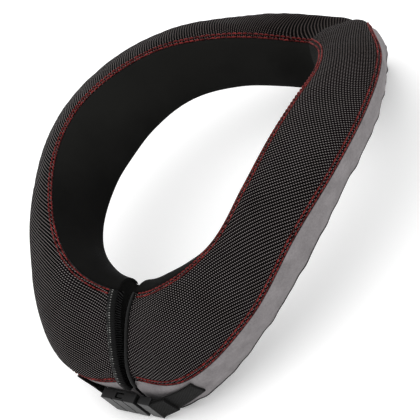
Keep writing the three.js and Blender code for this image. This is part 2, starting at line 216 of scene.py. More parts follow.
class Finish:
    """Node material on one Principled shader, with short names for adding and joining nodes."""

    def __init__(self, name, **constants):
        self.material = bpy.data.materials.new(name)
        self.material.use_nodes = True
        self.nodes = self.material.node_tree.nodes
        self.shader = self.nodes["Principled BSDF"]
        for socket, value in constants.items():
            self.shader.inputs[socket.replace("_", " ")].default_value = value

    def put(self, kind, inputs, output=0, **options):
        """Adds a node, sets its options, and gives each named input a number or another node's output."""
        node = self.nodes.new("ShaderNode" + kind)
        for option, value in options.items():
            setattr(node, option, value)
        for socket, value in inputs.items():
            self.join(value, node.inputs[socket])
        return node.outputs[output]

    def join(self, value, socket):
        """Links an output to a socket, or sets the socket to a number."""
        if isinstance(value, bpy.types.NodeSocket):
            self.material.node_tree.links.new(value, socket)
        else:
            socket.default_value = value

    def math(self, operation, first, second=0.0, third=0.0):
        """One arithmetic step."""
        return self.put("Math", {0: first, 1: second, 2: third}, operation=operation)

    def noise(self, where, scale, detail=3.0, rough=0.6):
        """Even noise from 0 to 1 round 0.5, scale being its grains in a metre."""
        return self.put("TexNoise", {"Vector": where, "Scale": scale, "Detail": detail, "Roughness": rough})

    def ramp(self, value, low, high):
        """Colour between two colours."""
        return self.put("Mix", {0: value, 6: low, 7: high}, output=2, data_type="RGBA")

    def colour(self, value, low, high):
        """Base colour between two colours, as a value goes from 0 to 1."""
        self.join(self.ramp(value, low, high), self.shader.inputs["Base Color"])

    def vary(self, socket, value, low, high):
        """One of the shader's numbers, between two numbers, as a value goes from 0 to 1."""
        self.join(self.put("MapRange", {0: value, 3: low, 4: high}), self.shader.inputs[socket])

    def bump(self, height, distance):
        """Relief of a height from 0 to 1, in metres, on the shader's normal."""
        normal = self.put("Bump", {"Strength": 1.0, "Distance": distance, "Height": height})
        self.join(normal, self.shader.inputs["Normal"])

    def object_place(self):
        """Object coordinates."""
        return self.put("TexCoord", {}, output=3)

    def uv(self):
        """The piece's own map, as two numbers."""
        split = self.put("UVMap", {}, uv_map="cloth").node
        parts = self.nodes.new("ShaderNodeSeparateXYZ")
        self.join(split.outputs[0], parts.inputs[0])
        return parts.outputs[0], parts.outputs[1]


def foam_finish():
    """Dark grey foam: round cells about a millimetre wide, with painted shade darkening their hollows."""
    made = Finish("foam", Roughness=0.95)
    where = made.object_place()
    cells = made.put("TexVoronoi", {"Vector": where, "Scale": 900.0})
    # painted shade: the colour is darkest where the bump is lowest, in the middle of each cell
    made.colour(cells, (0.03, 0.03, 0.032, 1), (0.07, 0.07, 0.074, 1))
    made.bump(cells, 0.4 * MM)
    return made.material


core_turns = even_turns(241)
core_loops = inset(section_loop(HALF_TURN - np.abs(core_turns), 12), CLOTH + GAP)
core_back = np.where(np.abs(core_turns) == HALF_TURN, CLOTH + GAP, 0)[:, None]
core_points = place(core_turns[:, None], core_loops, core_back)
core = make_tube("foam_block", core_points, foam_finish())
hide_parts("foam_core")

# Top cover
# The broad upper face, a coarse plain weave of black yarn, with a painted grey highlight on the floats of
# one of its two yarns. It is cut flat in one piece and sewn down along the neck and rim seams, which pull
# its threads askew.
SEAM_TRIM = 0.25 * MM  # a panel stops this far short of each seam line
SEAM_DIP = 0.6 * MM  # depth and reach of the roll into a seam
RIM_DIP = 1.2 * MM  # the padding makes a rounder edge at the rim
RIM_REACH = 3.2 * MM
# Where the cover hangs over the rim, down the outer wall: turn, half width in degrees, and length
HANGS = ((-148, 24, 6.5 * MM), (6, 9, 5 * MM))
HANG_BLEND = 3 * MM
# Where the rim stands out from the pad: turn, half width in degrees, and how far
FLARE = (-171, 9, 2.6 * MM)
FLARE_REACH = {1: 5 * MM, -1: 9 * MM}  # down the wall, and back over the top
STITCH_PITCH = 3.0 * MM
NECK_ROWS = (0.7 * MM, 2.5 * MM)  # distances of the two rows of stitches from the neck seam
RIM_ROWS = (0.9 * MM, 3.0 * MM)
ROW_DEPTH = 0.4 * MM
ROW_WIDTH = 0.7 * MM
TOP_FULLNESS = 3.0
WALL_FULLNESS = 2.2
WEAVE_PITCH = 1.03 * MM  # from yarn to yarn
WEAVE_TURN = 45  # direction of the yarns from the cloth's lay, in degrees
GLINT_SLANT = (-0.4, 0.25)  # slant of the painted highlight across a float, left and right on the collar, set as the light falls on each side
# How far the cloth's lay is turned from its flat pattern, at these turns round the ring, in degrees
LAY = (
    (-180, -8), (-150, 8), (-120, 0), (-95, 4), (-50, 17), (-26, 24), (-12, 18), (8, 4), (38, 12), (62, 12),
    (95, 32), (114, 37), (160, 43), (180, 43),
)
DENT_LIMIT = 1.15 * MM  # the cover's back lies a little deeper than this
# Soft folds and dents of the cover round the back corner: turn, half width in degrees, and height
FOLDS = ((-1.2, 2.6, 2.6 * MM), (-6.0, 3.5, 2.2 * MM), (5.0, 3.0, -1.1 * MM), (-24.0, 9.0, -1.1 * MM))
FOLD_MIDDLE = 0.72  # their place across the cover and half width there, as shares of it
FOLD_SPREAD = 0.25
BACK_SHARE = 0.85  # of the cloth's thickness, from a panel's face to its back
# The trial cloth that gives the cover its puckers: its grid, what blows it up, and how much of it is used
CLOTH_ROWS = 481
CLOTH_COLUMNS = 17
CLOTH_PRESSURE = 4
CLOTH_GROWTH = 0.03
CLOTH_FRAMES = 20
PUCKER_SHARE = 0.4  # the real cover is drawn tighter than the simulated one
PUCKER_CAP = 0.25 * MM
PUCKER_EVEN = 15  # rows to either side over which the swelling is evened out, to leave the puckers


def into_pad(number, angle):
    """Direction from a seam into the pad, half way between the two faces that meet there."""
    here = seam(number, angle)
    return unit(unit(seam(number - 1, angle) - here) + unit(seam(number + 1, angle) - here))


def hang(turn):
    """How far the top cover hangs over the rim, as a sum of bell curves along the ring."""
    return sum(length * np.exp(-((turn - middle) / spread) ** 2) for middle, spread, length in HANGS)


def flare(turn, distance):
    """How far the rim stands out from the pad, by a bell curve along the ring and one across the panels.
    The distance from the rim's edge is positive down the wall and negative over the top."""
    middle, spread, height = FLARE
    reach = np.where(distance > 0, FLARE_REACH[1], FLARE_REACH[-1])
    return height * np.exp(-((turn - middle) / spread) ** 2 - (distance / reach) ** 2)


def panel_width(face, turn):
    """Width of a cover panel: that of its face, more or less what hangs over the rim."""
    change = {TOP: 1, WALL: -1}.get(face, 0)
    return face_width(face, HALF_TURN - np.abs(turn)) + change * hang(turn)


def drawn(number, turn, distance):
    """How a cover is rolled into the pad at a distance from a seam, by a bell curve, which is wider and
    deeper at the rim. Where the cover hangs over the rim, it is rolled straight into the wall."""
    angle = HALF_TURN - np.abs(turn)
    inwards = into_pad(number, angle)
    depth, reach = SEAM_DIP, SEAM_DIP
    if number == WALL:
        depth, reach = RIM_DIP, RIM_REACH
        share = np.clip(hang(turn) / HANG_BLEND, 0, 1)[..., None]
        inwards = unit(inwards * (1 - share) - outward(seam(WALL, angle), seam(BASE, angle)) * share)
    return (depth * np.exp(-(distance / reach) ** 2))[..., None] * inwards


def rolled_line(face, turn, across, fullness, relief):
    """Section of a cover panel: its face's line, raised by a relief and drawn in at its two seams. The
    top goes on down the wall for what hangs over the rim, and the wall begins below that."""
    turn, across = np.broadcast_arrays(turn, across)
    angle = HALF_TURN - np.abs(turn)
    run = across * panel_width(face, turn)
    left = panel_width(face, turn) - run
    seam_run = run + hang(turn) if face == WALL else run
    share = np.clip(seam_run / face_width(face, angle), 0, 1)
    start, end = seam(face, angle), seam(face + 1, angle)
    line = face_line(face, angle, share, fullness)
    rise = outward(start, end)
    if face == TOP:
        over = np.maximum(seam_run / face_width(TOP, angle) - 1, 0) * face_width(TOP, angle)
        below = face_line(WALL, angle, over / face_width(WALL, angle), WALL_FULLNESS)
        line = np.where((over > 0)[..., None], below, line)
        rise = np.where((over > 0)[..., None], outward(end, seam(BASE, angle)), rise)
    line = line + relief[..., None] * rise
    if face in (TOP, WALL):
        stands = flare(turn, -left if face == TOP else run)
        line = line + stands[..., None] * outward(seam(WALL, angle), seam(BASE, angle))
    return line + drawn(face, turn, run) + drawn(face + 1, turn, left)


SEAM_TURNS = np.linspace(-HALF_TURN, HALF_TURN, 6001)


def seam_lengths(number):
    """Distance along a seam from the left end of the slit to each of the seam turns."""
    path = place(SEAM_TURNS, seam(number, HALF_TURN - np.abs(SEAM_TURNS)))
    return np.append(0, np.cumsum(np.linalg.norm(np.diff(path, axis=0), axis=1)))


NECK_LENGTHS = seam_lengths(TOP)
RIM_LENGTHS = seam_lengths(WALL)


def sewn_relief(length, distance, rows):
    """Relief beside one seam: a groove under each row, deepest at the needle holes."""
    stitch = np.cos(2 * np.pi * length / STITCH_PITCH)
    groove = sum(np.exp(-((distance - row) / ROW_WIDTH) ** 2) for row in rows)
    return -ROW_DEPTH * groove * (0.75 + 0.25 * stitch)


def top_relief(turn, across):
    """Relief of the top cover: that of its two seams and of the soft folds, each a bell curve along the
    ring and across it."""
    width = panel_width(TOP, turn)
    neck_length = np.interp(turn, SEAM_TURNS, NECK_LENGTHS)
    rim_length = np.interp(turn, SEAM_TURNS, RIM_LENGTHS)
    relief = sewn_relief(neck_length, across * width, NECK_ROWS)
    relief = relief + sewn_relief(rim_length, (1 - across) * width, RIM_ROWS)
    for middle, spread, rise in FOLDS:
        bell = np.exp(-((turn - middle) / spread) ** 2)
        bell = bell * np.exp(-((across - FOLD_MIDDLE) / FOLD_SPREAD) ** 2)
        relief = relief + rise * bell * (1 - across ** 8)
    return relief


def settled(rest):
    """Grid of points of a cloth, sewn down all round and cut a little too large, after it has been blown
    up from below by a cloth simulation without gravity."""
    rows, columns = rest.shape[:2]
    number = np.arange(rows * columns).reshape(rows, columns)
    corners = np.stack((number[:-1, :-1], number[1:, :-1], number[1:, 1:], number[:-1, 1:]), axis=-1)
    mesh = bpy.data.meshes.new("cloth")
    mesh.from_pydata(rest.reshape(-1, 3).tolist(), [], corners.reshape(-1, 4).tolist())
    trial = bpy.data.objects.new("cloth", mesh)
    bpy.context.scene.collection.objects.link(trial)
    sewn = np.unique(np.concatenate((number[:, 0], number[:, -1], number[0], number[-1])))
    trial.vertex_groups.new(name="sewn").add(sewn.tolist(), 1.0, "REPLACE")
    cloth = trial.modifiers.new("cloth", "CLOTH")
    cloth.settings.vertex_group_mass = "sewn"
    cloth.settings.quality = 6
    cloth.settings.mass = 0.1
    cloth.settings.bending_stiffness = 0.05
    cloth.settings.shrink_min = -CLOTH_GROWTH
    cloth.settings.use_pressure = True
    cloth.settings.uniform_pressure_force = CLOTH_PRESSURE
    cloth.settings.effector_weights.gravity = 0
    cloth.collision_settings.use_collision = False
    for step in range(1, CLOTH_FRAMES + 1):
        bpy.context.scene.frame_set(step)
    moved = np.empty(rest.size, np.float32)
    trial.evaluated_get(bpy.context.evaluated_depsgraph_get()).data.vertices.foreach_get("co", moved)
    bpy.context.scene.frame_set(1)
    bpy.data.objects.remove(trial)
    bpy.data.meshes.remove(mesh)
    return moved.reshape(rest.shape).astype(float)


cloth_turns = np.linspace(-HALF_TURN, HALF_TURN, CLOTH_ROWS)
cloth_across = np.linspace(0.02, 0.98, CLOTH_COLUMNS)
flat_relief = np.zeros(CLOTH_ROWS)
cloth_rest = np.stack([
    place(cloth_turns, rolled_line(TOP, cloth_turns, np.full(CLOTH_ROWS, share), TOP_FULLNESS, flat_relief))
    for share in cloth_across
], axis=1)
cloth_normal = unit(np.cross(np.gradient(cloth_rest, axis=0), np.gradient(cloth_rest, axis=1)))
swollen = ((settled(cloth_rest) - cloth_rest) * cloth_normal).sum(axis=2)
even_rows = np.ones(2 * PUCKER_EVEN + 1) / (2 * PUCKER_EVEN + 1)
even_swell = np.stack([
    np.convolve(np.pad(heights, PUCKER_EVEN, mode="edge"), even_rows, "valid") for heights in swollen.T
], axis=1)
puckers = swollen - even_swell
puckers = PUCKER_CAP * np.tanh(PUCKER_SHARE * puckers / PUCKER_CAP)


def pucker(turn, across):
    """Height of the simulated puckers, read off their grid in straight lines both ways."""
    row = np.clip((turn + HALF_TURN) / (2 * HALF_TURN), 0, 1) * (CLOTH_ROWS - 1)
    stripe = np.interp(across, cloth_across, np.arange(CLOTH_COLUMNS))
    low_row = np.minimum(row.astype(int), CLOTH_ROWS - 2)
    low_stripe = np.minimum(stripe.astype(int), CLOTH_COLUMNS - 2)
    down, over = row - low_row, stripe - low_stripe
    upper = puckers[low_row, low_stripe] * (1 - over) + puckers[low_row, low_stripe + 1] * over
    lower = puckers[low_row + 1, low_stripe] * (1 - over) + puckers[low_row + 1, low_stripe + 1] * over
    return upper * (1 - down) + lower * down


def top_point(turn, across):
    """Point of the top cover: across runs from the neck seam (0) to the rim seam (1)."""
    turn, across = np.broadcast_arrays(turn, across)
    relief = np.maximum(top_relief(turn, across) + pucker(turn, across), -DENT_LIMIT)
    return place(turn, rolled_line(TOP, turn, across, TOP_FULLNESS, relief))


def shares_across(face, turn, margin, step, middle):
    """Shares of a face's width: close columns in a margin at both seams and a few between them."""
    width = panel_width(face, turn)[:, None]
    close = np.arange(SEAM_TRIM, margin, step)
    near = np.broadcast_to(close, (len(turn), len(close)))
    between = margin + np.linspace(0, 1, middle) * (width - 2 * margin)
    return np.concatenate((near, between, width - near[:, ::-1]), axis=1) / width


def make_cover(name, outer, inner, finish, uv=None):
    """Closed panel from its outer grid, which has the map, and the grid of its back, set the other way."""
    if uv is not None:
        uv = np.pad(uv, ((0, 0), (0, inner.shape[1]), (0, 0)))
    return make_tube(name, np.concatenate((outer, inner[:, ::-1]), axis=1), finish, uv)


def cloth_back(face, turn, columns, fullness):
    """Back of a panel: the face's line moved inwards by most of the cloth's thickness."""
    relief = np.full((len(turn), columns), -BACK_SHARE * CLOTH)
    across = np.broadcast_to(np.linspace(0.07, 0.93, columns), relief.shape)
    return place(turn[:, None], rolled_line(face, turn[:, None], across, fullness, relief))


COURSE_EVEN = 50  # steps to either side over which the turning of a flat pattern is evened out
EVEN_WEIGHTS = np.ones(2 * COURSE_EVEN + 1) / (2 * COURSE_EVEN + 1)


def flat_pattern(grid, lay=0.0):
    """The panel laid flat: its middle line unrolls with the turns that it makes within the cloth, less the
    lay of its threads, and every other column lies at its own distance from it. Positions in metres."""
    middle = grid.shape[1] // 2
    line = grid[:, middle]
    step = np.diff(line, axis=0)
    length = np.linalg.norm(step, axis=1)
    heading = unit(step)
    sideways = unit(grid[:, middle + 1] - grid[:, middle - 1])
    bend = np.append(0, ((heading[1:] - heading[:-1]) * sideways[1:-1]).sum(axis=1))
    course = np.cumsum(bend)
    course = np.pad(course - course[len(course) // 2], COURSE_EVEN, mode="edge")
    course = np.convolve(course, EVEN_WEIGHTS, "valid") - np.broadcast_to(lay, len(line))[1:]
    flat_line = np.cumsum(length[:, None] * np.stack((np.cos(course), np.sin(course)), axis=1), axis=0)
    flat_line = np.vstack((np.zeros((1, 2)), flat_line))
    flat_line = flat_line - flat_line[len(line) // 2]
    course = np.append(course, course[-1])
    distance = np.cumsum(np.linalg.norm(np.diff(grid, axis=1), axis=2), axis=1)
    distance = np.concatenate((np.zeros((len(grid), 1)), distance), axis=1)
    distance = distance - distance[:, middle:middle + 1]
    across = np.stack((-np.sin(course), np.cos(course)), axis=1)
    return flat_line[:, None] + distance[..., None] * across[:, None]


def weave_finish():
    """Plain weave of black yarn: square cells, each a short rounded float, by turns one way and the other.
    A float's height is a parabola across it times a flatter one along it. On every other float a painted
    grey highlight, a narrower parabola, lies askew on the crest, one way on the left and the other on the
    right, duller and browner towards the back."""
    made = Finish("plain_weave")
    u, v = made.uv()
    parity = made.math("PINGPONG", made.math("ADD", made.math("FLOOR", u), made.math("FLOOR", v)), 1.0)
    x = made.math("SUBTRACT", made.math("FRACT", u), 0.5)
    y = made.math("SUBTRACT", made.math("FRACT", v), 0.5)
    along = made.put("Mix", {0: parity, 2: x, 3: y}, data_type="FLOAT")
    over = made.put("Mix", {0: parity, 2: y, 3: x}, data_type="FLOAT")
    round_over = made.math("MULTIPLY_ADD", made.math("MULTIPLY", over, over), -3.6, 1.0)
    round_along = made.math("MULTIPLY_ADD", made.math("MULTIPLY", along, along), -2.6, 1.0)
    height = made.math("MULTIPLY", round_over, round_along)
    where = made.object_place()
    parts = made.put("SeparateXYZ", {0: where}).node.outputs
    # painted highlight: its slant across the float changes from left to right, as the light falls
    slant = made.put("MapRange", {0: parts[0], 1: -20 * MM, 2: 60 * MM, 3: GLINT_SLANT[0], 4: GLINT_SLANT[1]})
    twisted = made.math("MULTIPLY_ADD", along, slant, over)
    narrow = made.math("MULTIPLY_ADD", made.math("MULTIPLY", twisted, twisted), -10.0, 1.0)
    glint_strip = made.math("MULTIPLY", made.math("MAXIMUM", narrow, 0.0), round_along)
    # painted highlight: a light grey strip on the crests of one yarn's floats stands in for the glint of
    # the lamps
    painted_glint = made.math("MULTIPLY", made.math("MULTIPLY", glint_strip, glint_strip), parity)
    tone = made.noise(where, 60.0)
    light = made.ramp(tone, (0.17, 0.145, 0.14, 1), (0.31, 0.28, 0.28, 1))
    dim = made.ramp(tone, (0.055, 0.036, 0.032, 1), (0.105, 0.075, 0.068, 1))
    # painted highlight: it turns duller and browner towards the back
    towards_back = made.put("MapRange", {0: parts[1], 1: 10 * MM, 2: 110 * MM})
    painted_glint_colour = made.ramp(towards_back, light, dim)
    black = (0.0012, 0.0009, 0.0009, 1)
    made.colour(painted_glint, black, painted_glint_colour)
    made.vary("Roughness", painted_glint, 0.85, 0.45)
    made.vary("Specular IOR Level", painted_glint, 0.02, 0.4)
    made.bump(height, 0.22 * MM)
    return made.material


top_turns = even_turns(1151)
top_across = shares_across(TOP, top_turns, 8 * MM, 0.5 * MM, 16)
top_grid = top_point(top_turns[:, None], top_across)
lay_at, lay_turn = np.array(LAY).T
weave_flat = flat_pattern(top_grid, np.radians(np.interp(top_turns, lay_at, lay_turn)))
yarn_cos, yarn_sin = math.cos(math.radians(WEAVE_TURN)), math.sin(math.radians(WEAVE_TURN))
yarn_axes = np.array([[yarn_cos, -yarn_sin], [yarn_sin, yarn_cos]])
top_back = cloth_back(TOP, top_turns, 8, TOP_FULLNESS)
weave_map = weave_flat @ yarn_axes / WEAVE_PITCH
top_cover = make_cover("top_cover", top_grid, top_back, weave_finish(), weave_map)
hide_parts("top_panel")


# Neck wall
# The inner wall that lies round the neck: a smooth, soft black jersey stretched over the foam, with
# faint, soft folds all along it.
NECK_FULLNESS = 2.2
NECK_FOLD = 0.15 * MM  # height of its folds
JERSEY_PITCH = 0.7 * MM  # from loop to loop


def ripple(length, *waves):
    """Sum of sines along a length, each wave given as (wavelength, share)."""
    return sum(share * np.sin(2 * np.pi * length / wave + 9 * share) for wave, share in waves)


def neck_point(turn, across):
    """Point of the neck wall: across runs from the foot seam (0) to the neck seam (1)."""
    turn, across = np.broadcast_arrays(turn, across)
    length = np.interp(turn, SEAM_TURNS, NECK_LENGTHS)
    fold = ripple(length, (23 * MM, 0.5), (37 * MM, 0.8)) * NECK_FOLD
    relief = fold * np.sin(np.pi * across)
    return place(turn, rolled_line(NECK, turn, across, NECK_FULLNESS, relief))


def jersey_finish(name, low, high):
    """Fine knitted jersey: rows of small loops, with a cloudy tone, and painted shade that darkens it lower
    down and in front.
    """
    made = Finish(name, Roughness=0.85, Specular_IOR_Level=0.08)
    u, v = made.uv()
    loops = made.math("MULTIPLY", made.math("SINE", made.math("MULTIPLY", u, 2 * math.pi)),
                      made.math("SINE", made.math("MULTIPLY", v, 2 * math.pi)))
    where = made.object_place()
    cloud = made.math("MULTIPLY", made.math("SUBTRACT", made.noise(where, 45.0), 0.5), 0.8)
    parts = made.put("SeparateXYZ", {0: where}).node.outputs
    # painted shade: the colour darkens lower down and towards the front, as less light falls there
    height = made.math("MULTIPLY_ADD", parts[1], 0.45, parts[2])
    tone = made.math("ADD", cloud, made.put("MapRange", {0: height, 1: 55 * MM, 2: 95 * MM}))
    made.colour(tone, low, high)
    made.bump(made.math("MULTIPLY_ADD", loops, 0.5, 0.5), 0.08 * MM)
    return made.material


neck_turns = even_turns(601)
neck_across = shares_across(NECK, neck_turns, 4 * MM, 0.6 * MM, 14)
neck_grid = neck_point(neck_turns[:, None], neck_across)
neck_flat = flat_pattern(neck_grid)
neck_back = cloth_back(NECK, neck_turns, 6, NECK_FULLNESS)
jersey = jersey_finish("jersey", (0.0022, 0.0022, 0.0020, 1), (0.0088, 0.0088, 0.0080, 1))
neck_cover = make_cover("neck_cover", neck_grid, neck_back, jersey, neck_flat / JERSEY_PITCH)
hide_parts("neck_panel")

# Outer wall
# The narrow band round the outside, a grey synthetic suede with a short nap. Its upper edge is sewn
# under the top cover and its lower edge is turned in at the hem, which draws it up in slight waves.
HEM_LIP = 0.7 * MM  # height of the base cloth's edge that shows below the suede
HEM_WAVE = 0.35 * MM


def hem_wave(turn):
    """How far the hem stands out or in, along its length."""
    length = np.interp(turn, SEAM_TURNS, RIM_LENGTHS)
    return HEM_WAVE * ripple(length, (13 * MM, 0.4), (21 * MM, 0.7), (34 * MM, 0.6))


def wall_point(turn, across):
    """Point of the outer wall: across runs from the rim seam (0) to the hem (1)."""
    turn, across = np.broadcast_arrays(turn, across)
    return place(turn, rolled_line(WALL, turn, across, WALL_FULLNESS, hem_wave(turn) * across ** 2))


def suede_finish():
    """Grey suede: a cloudy tone where the nap lies either way, a fine grain, and a dull velvet sheen."""
    made = Finish("suede", Roughness=0.92, Specular_IOR_Level=0.15)
    where = made.object_place()
    nap = made.math("SUBTRACT", made.noise(where, 75.0, 5.0, 0.7), 0.5)
    cloud = made.math("MULTIPLY_ADD", nap, 2.0, 0.5)
    grain = made.noise(where, 900.0, 2.0)
    tone = made.math("MULTIPLY_ADD", made.math("SUBTRACT", grain, 0.5), 1.0, cloud)
    made.colour(tone, (0.140, 0.130, 0.133, 1), (0.235, 0.220, 0.224, 1))
    made.bump(grain, 0.15 * MM)
    return made.material


wall_turns = even_turns(601)
wall_across = shares_across(WALL, wall_turns, 3 * MM, 0.5 * MM, 10)
wall_height = panel_width(WALL, wall_turns)[:, None]
wall_across = np.minimum(wall_across, 1 - HEM_LIP / wall_height)
wall_grid = wall_point(wall_turns[:, None], wall_across)
wall_back = cloth_back(WALL, wall_turns, 6, WALL_FULLNESS)
wall_cover = make_cover("wall_cover", wall_grid, wall_back, suede_finish())
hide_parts("side_panel")

# Base
# The underside that lies on the shoulders, plain black cloth. Its outer edge is turned up over the foot
# of the suede and shows there as a thin dark line.
BASE_FULLNESS = 2.0
LIP_LIFT = 0.3 * MM
LIP_HEIGHT = 1.0 * MM


def base_point(turn, across):
    """Point of the base: across runs from the hem (0) to the foot seam (1), where it is rolled in. At the
    hem it stands out with the wall, and the wave dies out as the eighth power of what is left."""
    turn, across = np.broadcast_arrays(turn, across)
    angle = HALF_TURN - np.abs(turn)
    wave = (hem_wave(turn) + LIP_LIFT) * (1 - across) ** 8
    line = base_line(angle, across) + drawn(NECK, turn, (1 - across) * face_width(BASE, angle))
    return place(turn, line + np.stack((wave, 0 * wave), axis=-1))


def lip_point(turn, height):
    """Point of the base cloth's edge, turned up over the suede by a height above the hem."""
    turn, height = np.broadcast_arrays(turn, height)
    angle = HALF_TURN - np.abs(turn)
    rim, hem = seam(WALL, angle), seam(BASE, angle)
    across = 1 - height / face_width(WALL, angle)
    relief = hem_wave(turn) * across ** 2 + LIP_LIFT
    line = face_line(WALL, angle, across, WALL_FULLNESS) + relief[..., None] * outward(rim, hem)
    line[..., 1] = np.maximum(line[..., 1], 0)
    return place(turn, line)


base_turns = even_turns(401)
base_across = shares_across(BASE, base_turns, 3 * MM, 0.5 * MM, 20)
base_lip = lip_point(base_turns[:, None], np.linspace(LIP_HEIGHT, 0.2 * MM, 4)[None])
base_grid = np.concatenate((base_lip, base_point(base_turns[:, None], base_across)), axis=1)
base_back = cloth_back(BASE, base_turns, 6, BASE_FULLNESS)
base_flat = flat_pattern(base_grid)
tricot = jersey_finish("tricot", (0.008, 0.008, 0.0085, 1), (0.013, 0.013, 0.014, 1))
base_cover = make_cover("base_cover", base_grid, base_back, tricot, base_flat / JERSEY_PITCH)
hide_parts("base_panel")

# End covers
# A small panel of the neck jersey over each cut end of the foam, inside the slit. It is sewn to the
# other panels all round and the foam swells it a little.
END_SWELL = 0.8 * MM
END_RINGS = 16  # on the face, and on the back
END_BACK_RINGS = 6


def end_cover(side):
    """Closed cushion over one end: the end section shrunk towards its middle in rings, whose setback from
    the end face is a swell that fades to the edge as the fourth power of the ring's share."""
    border = inset(section_loop(np.zeros(1), 24), CLOTH * 0.6)[0]
    middle = border.mean(axis=0)
    share = np.concatenate((np.linspace(0.04, 1, END_RINGS), np.linspace(0.9, 0.04, END_BACK_RINGS)))
    front = np.arange(len(share)) < END_RINGS
    setback = np.where(front, GAP - END_SWELL * (1 - share ** 4), CLOTH)
    rings = middle + share[:, None, None] * (border - middle)
    points = place(np.float64(side * HALF_TURN), rings, setback[:, None])
    uv = np.broadcast_to(rings / JERSEY_PITCH, rings.shape)
    if side < 0:
        points, uv = points[:, ::-1], uv[:, ::-1]
    return points, uv


for side, name in ((1, "right"), (-1, "left")):
    end_points, end_uv = end_cover(side)
    piece = make_tube("end_cover_" + name, end_points, jersey, np.ascontiguousarray(end_uv))
    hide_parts("end_panel_" + name)

# Stitches
# Two rows of red thread along both edges of the top cover, sewn by a twin needle, so the stitches of
# the two rows lie side by side. Each stitch is a short piece of twisted thread between two holes.
THREAD = 0.44 * MM  # radius
STITCH_FILL = 0.92  # share of the pitch that the thread covers
STITCH_RINGS = 7
STITCH_SIDES = 6
ROW_START = 6 * MM  # from the left end, where the binding begins
ROW_END = 2 * MM
TURN_STEP = 0.4  # in degrees, and a share across, to the points that give a direction
ACROSS_STEP = 0.02


def surface_frame(point_at, turn, across):
    """Point of a cover, direction along the ring and outward normal there, by differences."""
    along = unit(point_at(turn + TURN_STEP, across) - point_at(turn - TURN_STEP, across))
    aside = unit(point_at(turn, across + ACROSS_STEP) - point_at(turn, across - ACROSS_STEP))
    return point_at(turn, across), along, unit(np.cross(along, aside))


def stitch_row(lengths, share_at, first, last):
    """All stitches of one row as rings of points. A stitch follows the cover between its two holes, bowed
    up by a flat-topped curve, and its round section narrows at the holes."""
    count = int((last - first) / STITCH_PITCH)
    begin = first + STITCH_PITCH * np.arange(count)[:, None]
    s = np.linspace(0, 1, STITCH_RINGS)[None]
    length = begin + STITCH_PITCH * (0.5 + STITCH_FILL * (s - 0.5))
    turn = np.interp(length, lengths, SEAM_TURNS)
    point, along, normal = surface_frame(top_point, turn, share_at(turn))
    bow = 1 - (2 * s - 1) ** 4
    lift = THREAD * (bow * 1.05 - 0.3)
    radius = THREAD * (0.55 + 0.45 * bow)
    aside = np.cross(normal, along)
    around = 2 * np.pi * np.arange(STITCH_SIDES) / STITCH_SIDES
    ring = np.cos(around)[:, None] * normal[:, :, None] + np.sin(around)[:, None] * aside[:, :, None]
    centre = point + lift[..., None] * normal
    return centre[:, :, None] + radius[..., None, None] * ring


def stitch_mesh(rows):
    """Points, faces and UV pairs of many stitches: the tube of one, repeated with its own points."""
    points = np.concatenate(rows).reshape(-1, 3)
    each = STITCH_RINGS * STITCH_SIDES
    count = len(points) // each
    tube = tube_faces(STITCH_RINGS, STITCH_SIDES)
    sides = np.array(tube[:-2])
    ends = np.array(tube[-2:])
    shift = each * np.arange(count)[:, None, None]
    faces = (sides + shift).reshape(-1, 4).tolist() + (ends + shift).reshape(-1, STITCH_SIDES).tolist()
    i, j = np.meshgrid(np.arange(STITCH_RINGS), np.arange(STITCH_SIDES), indexing="ij")
    uv = np.stack((i / (STITCH_RINGS - 1), j / STITCH_SIDES), axis=-1)
    return points, faces, np.tile(uv.reshape(-1, 2), (count, 1))


def thread_finish():
    """Red polyester thread: two plies twisted together, duller and brighter from stitch to stitch."""
    made = Finish("red_thread", Roughness=0.5, Specular_IOR_Level=0.12)
    u, v = made.uv()
    turn = made.math("MULTIPLY_ADD", u, 3.0, v)
    twist = made.math("SINE", made.math("MULTIPLY", turn, 4 * math.pi))
    where = made.object_place()
    tone = made.put("MapRange", {0: made.noise(where, 260.0), 1: 0.3, 2: 0.72})
    made.colour(tone, (0.028, 0.003, 0.003, 1), (0.270, 0.028, 0.026, 1))
    made.bump(made.math("MULTIPLY_ADD", twist, 0.5, 0.5), 0.1 * MM)
    return made.material


def neck_share(distance):
    """Share across the top at a distance from the neck seam."""
    return lambda turn: distance / panel_width(TOP, turn)


def rim_share(distance):
    """Share across the top at a distance from the rim seam."""
    return lambda turn: 1 - distance / panel_width(TOP, turn)


red_thread = thread_finish()
for name, lengths, rows, share in (
    ("neck_stitches", NECK_LENGTHS, NECK_ROWS, neck_share),
    ("rim_stitches", RIM_LENGTHS, RIM_ROWS, rim_share),
):
    made_rows = [stitch_row(lengths, share(row), ROW_START, lengths[-1] - ROW_END) for row in rows]
    stitch_points, stitch_faces, stitch_uv = stitch_mesh(made_rows)
    make_piece(name, stitch_points, stitch_faces, red_thread, stitch_uv)

# Binding and piping
# The left edge of the slit is bound with a shiny black ribbed tape, folded over on to the end face. The
# right edge has a narrow satin piping. Both are sewn on and run a little way down the outer wall.
TAPE_WIDTH = 5.5 * MM
TAPE_RISE = 1.6 * MM
TAPE_WRAP = 4 * MM
TAPE_FOLD = 1.2 * MM
TAPE_TAIL = 6.5 * MM  # down the wall
PIPING_TAIL = 3.5 * MM
TAPE_STEPS = 360  # along the tape, round its dome, and down either face of its fold
TAPE_DOME = 29
TAPE_SIDE = 9
TAPE_COLUMNS = 4  # of floats with painted highlights, if they went on over the whole dome
RIB_PITCH = 1.3 * MM
RIB_HEIGHT = 0.16 * MM
RIB_SETBACK = 1.2  # of the ribs at the dome's edges, in pitches
PIPING = 1.6 * MM
PIPING_STEPS = 160
TRIM_SPARE = 4 * MM  # the front section is worked out this far beyond the trim's ends
CORNER_EVEN = 21  # points of it over which the trim's direction is evened out
FRONT = np.float64(0)  # direction of the slit


